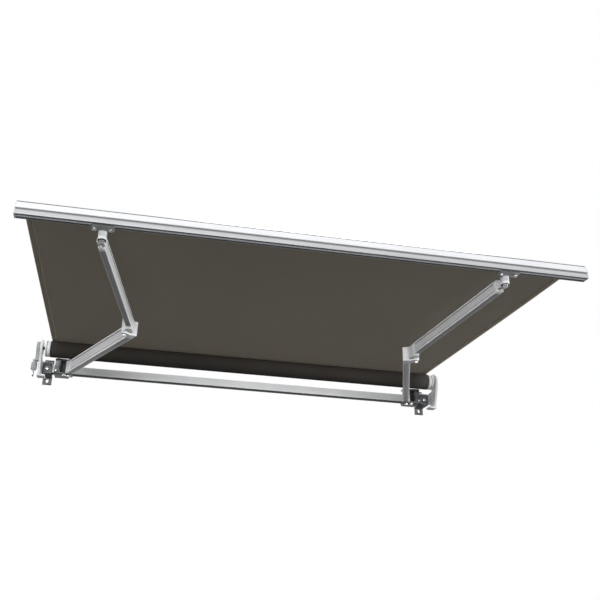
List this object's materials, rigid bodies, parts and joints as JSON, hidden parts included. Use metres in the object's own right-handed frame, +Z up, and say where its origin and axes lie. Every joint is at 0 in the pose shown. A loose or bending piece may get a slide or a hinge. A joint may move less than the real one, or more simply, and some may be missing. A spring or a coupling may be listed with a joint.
{
  "type": "fabric awning",
  "caption": "Folding-arm awning: a fabric sheet drawn from a roller by two jointed arms and a front bar, carried by a square torsion bar with wall brackets and a crank gear.",
  "frame": {"origin": "on the wall plane, centred between the wall brackets, at the middle height of the torsion bar", "axes": "+X along the width away from the crank gear, +Y into the wall, +Z up; the front bar stands at -Y"},
  "size_m": [2.026, 1.5225, 0.1893],
  "materials": {
    "bar_coat": "grey powder coat",
    "white_coat": "white powder coat",
    "cast_grey": "grey coated casting",
    "aluminium": "silver anodised",
    "steel": "zinc plated",
    "cloth": "woven, dark brown",
    "plastic": "matt"
  },
  "bodies": {
    "base": {"torsion_bar": "bar_coat", "crank_gear_housing": "plastic", "awning_fabric": "cloth", "wall_bracket_left": "cast_grey", "wall_bracket_right": "cast_grey", "wall_clamp_bolt_left": "steel", "wall_clamp_bolt_right": "steel", "roller_bracket_left": "white_coat", "roller_bracket_right": "white_coat", "shoulder_bracket_left": "cast_grey", "shoulder_bracket_right": "cast_grey", "shoulder_pin_left": "steel", "shoulder_pin_right": "steel", "shoulder_adjuster_left": "steel", "shoulder_adjuster_right": "steel"},
    "roller": {"roller_tube": "aluminium", "fabric_roll": "cloth", "roller_collar_left": "aluminium", "roller_collar_right": "aluminium"},
    "crank": {"crank_eye": "steel"},
    "front_bar": {"front_bar_profile": "white_coat", "fabric_keder_rod": "plastic", "front_bar_cap_left": "plastic", "front_bar_cap_right": "plastic", "front_bar_foot_left": "cast_grey", "front_bar_foot_right": "cast_grey", "foot_bolt_a_left": "steel", "foot_bolt_a_right": "steel", "foot_bolt_b_left": "steel", "foot_bolt_b_right": "steel"},
    "upper_arm_left": {"upper_arm_tube_left": "aluminium", "upper_arm_shoulder_end_left": "aluminium", "upper_arm_elbow_fork_left": "aluminium", "elbow_pin_left": "steel"},
    "forearm_left": {"forearm_tube_left": "aluminium", "forearm_elbow_knuckle_left": "aluminium", "forearm_wrist_end_left": "aluminium", "wrist_pin_left": "steel"},
    "upper_arm_right": {"upper_arm_tube_right": "aluminium", "upper_arm_shoulder_end_right": "aluminium", "upper_arm_elbow_fork_right": "aluminium", "elbow_pin_right": "steel"},
    "forearm_right": {"forearm_tube_right": "aluminium", "forearm_elbow_knuckle_right": "aluminium", "forearm_wrist_end_right": "aluminium", "wrist_pin_right": "steel"}
  },
  "joints": [
    {"name": "shoulder_left", "type": "hinge", "parent": "base", "child": "upper_arm_left", "pos_m": [-0.854, -0.105, 0], "axis": [0, 0, 1], "range_deg": [0, 65], "deforming": ["awning_fabric"]},
    {"name": "elbow_left", "type": "hinge", "parent": "upper_arm_left", "child": "forearm_left", "pos_m": [-0.6, -0.854, 0], "axis": [0, 0, 1], "range_deg": [-142, 0]},
    {"name": "wrist_left", "type": "hinge", "parent": "forearm_left", "child": "front_bar", "pos_m": [-0.691, -1.467, 0], "axis": [0, 0, 1], "range_deg": [0, 77]},
    {"name": "shoulder_right", "type": "hinge", "parent": "base", "child": "upper_arm_right", "pos_m": [0.854, -0.105, 0], "axis": [0, 0, 1], "range_deg": [-65, 0]},
    {"name": "elbow_right", "type": "hinge", "parent": "upper_arm_right", "child": "forearm_right", "pos_m": [0.6, -0.854, 0], "axis": [0, 0, 1], "range_deg": [0, 142]},
    {"name": "roller_turn", "type": "hinge", "parent": "base", "child": "roller", "pos_m": [0, -0.1585, 0.0701], "axis": [-1, 0, 0], "range_deg": [0, 1727]},
    {"name": "crank_turn", "type": "hinge", "parent": "base", "child": "crank", "pos_m": [-1.014, -0.1585, -0.03], "axis": [0, 0, 1], "continuous": true}
  ],
  "couplings": [
    {"joint": "elbow_left", "follows": "shoulder_left", "ratio": -2.184},
    {"joint": "wrist_left", "follows": "shoulder_left", "ratio": 1.184},
    {"joint": "shoulder_right", "follows": "shoulder_left", "ratio": -1},
    {"joint": "elbow_right", "follows": "shoulder_left", "ratio": 2.184},
    {"joint": "roller_turn", "follows": "shoulder_left", "ratio": 26.56}
  ]
}
